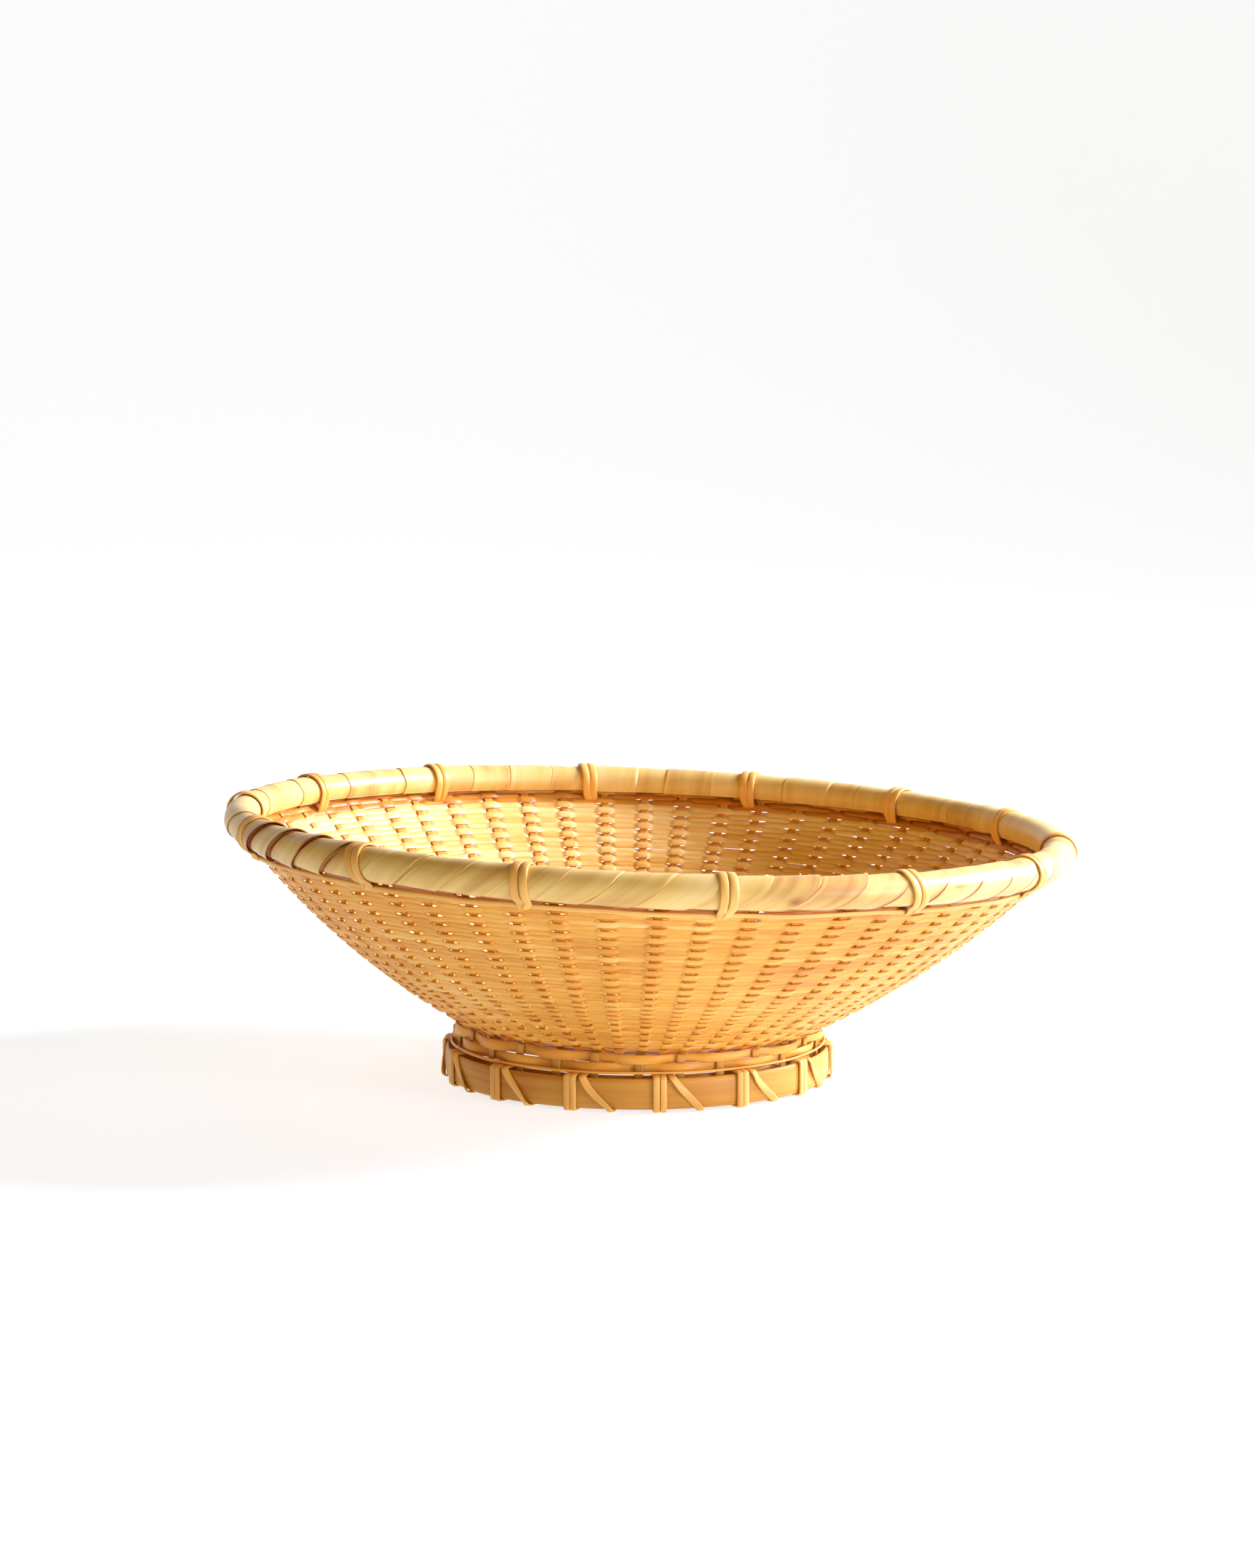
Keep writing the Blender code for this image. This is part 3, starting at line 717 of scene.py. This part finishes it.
def make_foot_strand():
    """A thin strand that lies on the lashing, outside the foot's stakes."""
    batch = Batch()
    degrees = round_angles(FOOT_STAKES * 8)
    radius = 59.7 + smooth_noise(len(degrees), 0.05, 28)
    height = 11.95 + smooth_noise(len(degrees), 0.05, 28)
    batch.strand(*ring(radius, degrees, height), 0.8, 0.65, 0.55, closed=True)
    batch.build("foot_strand", "weft", (), "weft_bamboo")


def rounded_loop(points, radius_mm=0.9, per_corner=5):
    """The closed (radius, height) line with its corners rounded, along even steps between them."""
    points = np.array(points, dtype=float)
    made = []
    for before, here, after in zip(np.roll(points, 1, 0), points, np.roll(points, -1, 0)):
        to_before = (before - here) / np.linalg.norm(before - here)
        to_after = (after - here) / np.linalg.norm(after - here)
        a, c = here + to_before * radius_mm, here + to_after * radius_mm
        for t in np.linspace(0, 1, per_corner):
            made.append((1 - t) ** 2 * a + 2 * t * (1 - t) * here + t**2 * c)
    filled = []
    for p, q in zip(made, made[1:] + made[:1]):
        steps = max(1, int(np.linalg.norm(q - p) / 1.1))
        for k in range(steps):
            filled.append(p + (q - p) * k / steps)
    return np.array(filled)


LASHING_LOOP = ((54.35, 0.45), (62.15, 0.45), (62.15, 11.05), (54.35, 11.05))  # (radius, height)
WRAP_OFFSET, WRAP_WIDTH, WRAP_THICK = 0.98, 2.05, 0.85
SLANT_WIDTH, SLANT_THICK = 2.3, 0.65
# How far along the hoop from the middle of the tie the slanting strand is, by height
SLANT_HEIGHTS, SLANT_PLACES = (0.45, 2.2, 4.5, 7.5, 11.05), (12.8, 11.2, 8.9, 6.1, 3.8)
SLANT_BOW = (0, 0, 1, 1, 0)


def make_foot_lashing():
    """Round both hoops: a pair of upright wraps, and one slanting strand beside it."""
    section = rounded_loop(LASHING_LOOP)
    away = section - section.mean(axis=0)

    def loop(degrees):
        return polar(section[:, 0], degrees, section[:, 1]), polar(away[:, 0], degrees, away[:, 1])

    for index in range(TIES):
        number = f"{index + 1:02d}"
        middle = node_angle(f"foot_tie_{number}", FOOT_CENTRE_X)
        batch = Batch()
        for side in (-1, 1):
            off = math.degrees(WRAP_OFFSET / LASHING_RADIUS) * side * rng.uniform(0.96, 1.1)
            tone = 0.5 + rng.uniform(-0.12, 0.12)
            batch.strand(*loop(middle + off), WRAP_WIDTH, WRAP_THICK, tone, closed=True, profile=10)
        batch.build(f"foot_lashing_{number}", "rattan", (f"foot_tie_{number}",), "rattan")

        batch = Batch()
        bow = rng.uniform(-0.4, 0.4)
        places = [place + bow * bent for place, bent in zip(SLANT_PLACES, SLANT_BOW)]
        degrees = middle + np.degrees(np.interp(section[:, 1], SLANT_HEIGHTS, places) / LASHING_RADIUS)
        tone = 0.5 + rng.uniform(-0.12, 0.12)
        batch.strand(*loop(degrees), SLANT_WIDTH, SLANT_THICK, tone, closed=True, profile=10)
        batch.build(f"foot_slant_{number}", "rattan", (f"foot_diagonal_{number}",), "rattan")


# ---------------------------------------------------------------- stage

# Name, place and target in metres, size, power in watts, colour
LIGHTS = (
    ("key", (1.05, 0.28, 0.62), (0, 0, 0.05), 0.55, 42.0, (0.95, 0.98, 1.3)),
    ("fill", (0.1, -1.3, 0.16), (0, 0, 0.04), 0.9, 1.9, (1.0, 0.80, 0.50)),
    ("side", (1.15, -0.75, 0.22), (0, 0, 0.03), 0.6, 11.0, (0.96, 0.98, 1.3)),
)
CAMERA_LENS, CAMERA_SENSOR = 83.5, 36.0
CAMERA_PLACE = (-0.0038, -1.1473, 0.23096)
CAMERA_YAW, CAMERA_PITCH = -0.00285, 0.11931  # radians, to the right and down
FLOOR_FRONT, FLOOR_BACK, FLOOR_HALF_WIDTH = -3.0, 2.0, 5.0
FLOOR_BEND, BACKDROP_HEIGHT = 1.2, 5.0
FLOOR_DROP = 0.0001  # keeps the floor's face off the basket's lowest points
FLOOR_COLOUR = (0.44, 0.457, 0.474, 1)
GLOW_COLOUR, GLOW_STRENGTH = (0.945, 0.972, 1.0, 1), 0.77
WORLD_COLOUR, WORLD_STRENGTH = (1.0, 0.64, 0.15, 1), 0.25
PAST_FLOOR_COLOUR = (0.95, 0.95, 0.94, 1)


def make_floor():
    """A plain pale floor with an even glow, which curves up into the backdrop behind the basket."""
    profile = [(FLOOR_FRONT, 0.0), (FLOOR_BACK, 0.0)]
    for turn in np.radians(np.linspace(6.0, 90.0, 15)):
        profile.append((FLOOR_BACK + FLOOR_BEND * math.sin(turn), FLOOR_BEND - FLOOR_BEND * math.cos(turn)))
    profile.append((FLOOR_BACK + FLOOR_BEND, BACKDROP_HEIGHT))
    verts = [(x, y, z - FLOOR_DROP) for y, z in profile for x in (-FLOOR_HALF_WIDTH, FLOOR_HALF_WIDTH)]
    faces = [(2 * k, 2 * k + 1, 2 * k + 3, 2 * k + 2) for k in range(len(profile) - 1)]
    mesh = bpy.data.meshes.new("floor")
    mesh.from_pydata(verts, [], faces)
    mesh.shade_smooth()
    floor = bpy.data.objects.new("floor", mesh)
    bpy.context.scene.collection.objects.link(floor)
    made = bpy.data.materials.new("floor_look")
    made.use_nodes = True
    shader = made.node_tree.nodes["Principled BSDF"]
    shader.inputs["Base Color"].default_value = FLOOR_COLOUR
    shader.inputs["Roughness"].default_value = 0.9
    shader.inputs["Specular IOR Level"].default_value = 0.1
    shader.inputs["Emission Color"].default_value = GLOW_COLOUR
    shader.inputs["Emission Strength"].default_value = GLOW_STRENGTH
    mesh.materials.append(made)


def make_lights():
    for name, place, target, size, power, colour in LIGHTS:
        data = bpy.data.lights.new(name, "AREA")
        data.shape = "DISK"
        data.size = size
        data.energy = power
        data.color = colour
        lamp = bpy.data.objects.new(name, data)
        lamp.location = place
        lamp.rotation_mode = "QUATERNION"
        lamp.rotation_quaternion = (Vector(target) - Vector(place)).to_track_quat("-Z", "Y")
        bpy.context.scene.collection.objects.link(lamp)


def make_world():
    """Warm light from all round, but what shows past the floor's edge is as pale as the floor."""
    world = bpy.data.worlds.new("studio")
    world.use_nodes = True
    tree = world.node_tree
    warm = tree.nodes["Background"]
    warm.inputs["Color"].default_value = WORLD_COLOUR
    warm.inputs["Strength"].default_value = WORLD_STRENGTH
    pale = tree.nodes.new("ShaderNodeBackground")
    pale.inputs["Color"].default_value = PAST_FLOOR_COLOUR
    ray = tree.nodes.new("ShaderNodeLightPath")
    seen = tree.nodes.new("ShaderNodeMixShader")
    tree.links.new(ray.outputs["Is Camera Ray"], seen.inputs[0])
    tree.links.new(warm.outputs[0], seen.inputs[1])
    tree.links.new(pale.outputs[0], seen.inputs[2])
    tree.links.new(seen.outputs[0], tree.nodes["World Output"].inputs["Surface"])
    bpy.context.scene.world = world


def make_camera():
    data = bpy.data.cameras.new("camera")
    data.lens = CAMERA_LENS
    data.sensor_width = CAMERA_SENSOR
    data.clip_start = 0.01
    camera = bpy.data.objects.new("camera", data)
    camera.location = CAMERA_PLACE
    forward = Vector(
        (
            math.sin(CAMERA_YAW) * math.cos(CAMERA_PITCH),
            math.cos(CAMERA_YAW) * math.cos(CAMERA_PITCH),
            -math.sin(CAMERA_PITCH),
        )
    )
    camera.rotation_mode = "QUATERNION"
    camera.rotation_quaternion = forward.to_track_quat("-Z", "Y")
    bpy.context.scene.collection.objects.link(camera)
    bpy.context.scene.camera = camera


def dress_frame():
    """The two hoops inside the rim stay as CAD, with a bamboo look on their own slots."""
    for name in ("rim_outer_hoop", "rim_inner_hoop"):
        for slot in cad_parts[name].material_slots:
            slot.material = LOOKS["hoop"]


make_weave()
make_stakes()
make_frays()
make_base()
make_wrap()
make_under_strand()
make_rim_ties()
make_hoop("foot_hoop_outside", 60.75, 1.5, "foot_outer_hoop")
make_hoop("foot_hoop_inside", 55.7, 1.4, "foot_inner_hoop")
make_foot_stakes()
make_foot_strand()
make_foot_weft("foot_weave_lower", 13.3, 2.9, -1, "foot_weft_lower")
make_foot_weft("foot_weave_upper", 16.1, 2.7, 1, "foot_weft_upper")
make_foot_lashing()
dress_frame()
make_floor()
make_world()
make_lights()
make_camera()
bpy.context.scene.view_settings.view_transform = "Standard"
